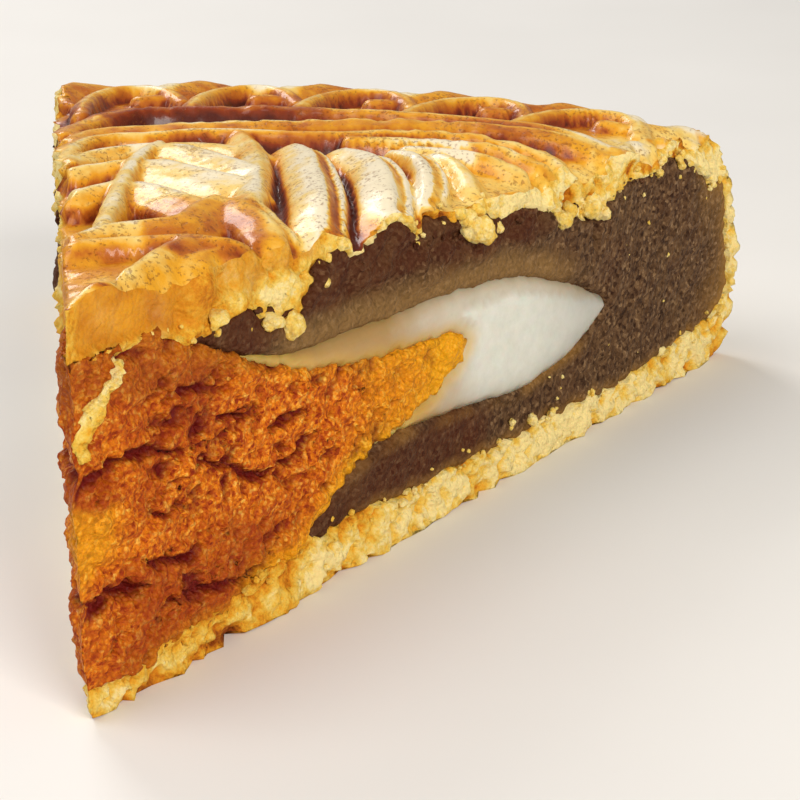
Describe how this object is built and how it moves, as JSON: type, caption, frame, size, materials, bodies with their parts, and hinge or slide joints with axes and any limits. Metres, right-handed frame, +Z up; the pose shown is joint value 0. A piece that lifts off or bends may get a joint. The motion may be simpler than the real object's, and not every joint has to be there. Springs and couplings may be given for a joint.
{
  "type": "mooncake slice",
  "caption": "Wedge cut from a large baked mooncake: moulded golden pastry over dark bean paste, a white rice layer and a salted yolk core.",
  "frame": {"origin": "centre of the slice's bounding box on its flat base", "axes": "+Z up, +Y from the pointed tip to the rim, +X to the right seen from the tip"},
  "size_m": [0.0766, 0.1, 0.0335],
  "materials": {
    "pastry": "egg-glazed baked pastry, golden brown on the ridges, pale and crumbly where cut",
    "bean_paste": "smooth dark paste, slightly moist and grainy where cut",
    "mochi_layer": "translucent white rice dough, softly glossy",
    "egg_yolk": "orange salted yolk, grainy and porous where cut"
  },
  "bodies": {
    "root": {"pastry": "pastry", "bean_paste": "bean_paste", "mochi_layer": "mochi_layer", "egg_yolk": "egg_yolk"}
  },
  "joints": []
}
